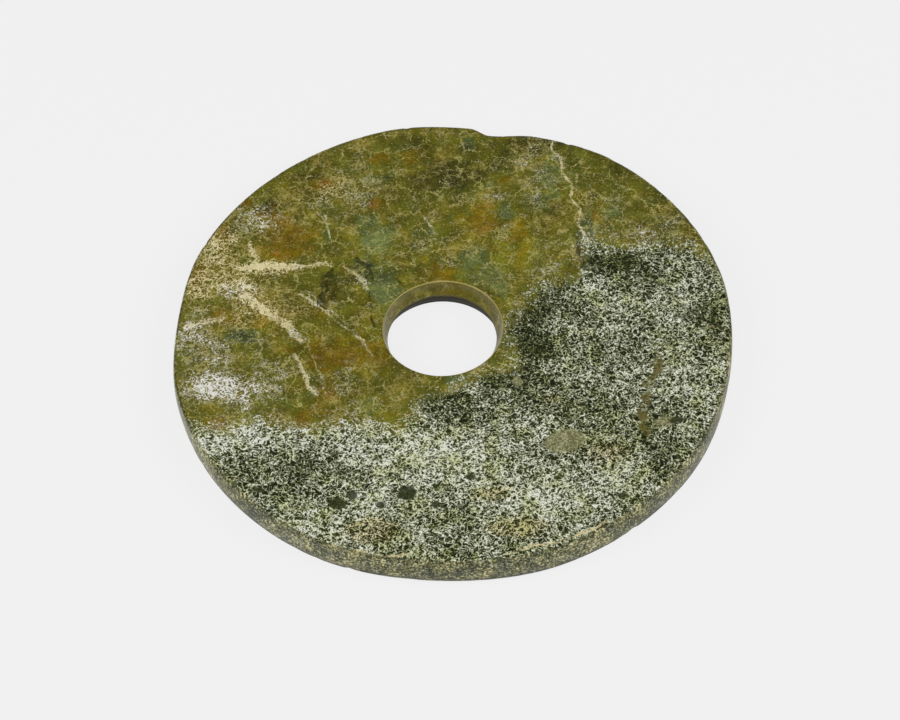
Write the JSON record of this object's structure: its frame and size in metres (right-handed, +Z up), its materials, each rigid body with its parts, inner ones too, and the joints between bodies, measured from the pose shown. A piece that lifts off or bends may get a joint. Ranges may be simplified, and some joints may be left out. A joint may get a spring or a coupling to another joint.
{
  "type": "jade bi disc",
  "caption": "Flat round ritual disc of mottled green nephrite, pierced by a hole bored from both faces, with a worn rim and a long flake lost from its edge.",
  "frame": {"origin": "middle of the disc's footprint, on the plane it lies on", "axes": "+Z up through the thickness; +Y towards the side of the rim that lost a flake; +X to the right when that side is at the back"},
  "size_m": [0.209, 0.2082, 0.0129],
  "materials": {
    "nephrite": "satin"
  },
  "bodies": {
    "root": {"jade_disc": "nephrite"}
  },
  "joints": []
}
